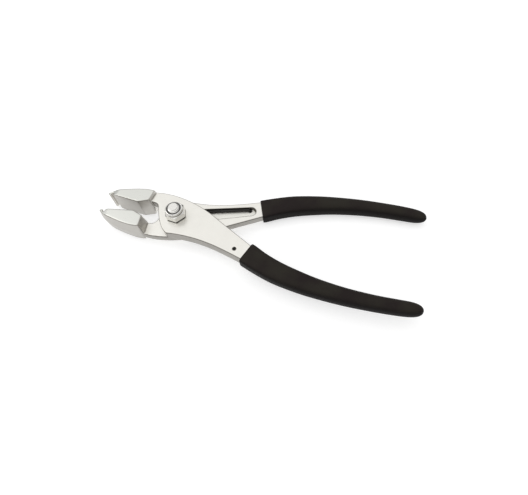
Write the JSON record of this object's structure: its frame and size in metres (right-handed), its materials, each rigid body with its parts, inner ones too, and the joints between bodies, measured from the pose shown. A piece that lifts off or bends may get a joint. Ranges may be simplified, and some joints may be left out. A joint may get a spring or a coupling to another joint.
{
  "type": "running pliers",
  "caption": "Spring-loaded hand pliers with a bolted lap joint, square-shouldered jaws grooved across their tips, and dipped dark grips.",
  "frame": {"origin": "on the pivot axis, at the underside of the bolt head, level with the jaws' undersides", "axes": "+X from the pivot towards the handles, +Y towards the upper handle, +Z along the pivot towards the nut"},
  "size_m": [0.2206, 0.0818, 0.0232],
  "materials": {
    "forged_steel": "fine-ground and satin nickel plated",
    "plated_hardware": "bright zinc plated",
    "dark_nylon": "matte",
    "black_wire": "black oxide",
    "dipped_vinyl": "soft matte, dipped"
  },
  "bodies": {
    "rear_arm": {"rear_arm": "forged_steel", "pivot_bolt": "plated_hardware", "pivot_nut": "plated_hardware", "nut_insert": "dark_nylon", "return_spring": "black_wire", "upper_grip": "dipped_vinyl"},
    "front_arm": {"front_arm": "forged_steel", "lower_grip": "dipped_vinyl"}
  },
  "joints": [
    {"name": "jaw_pivot", "type": "hinge", "parent": "rear_arm", "child": "front_arm", "pos_m": [0, 0, 0.0084], "axis": [0, 0, 1], "range_deg": [-10, 13.4], "stiffness_Nm_per_rad": 1.6, "deforming": ["return_spring"]}
  ]
}
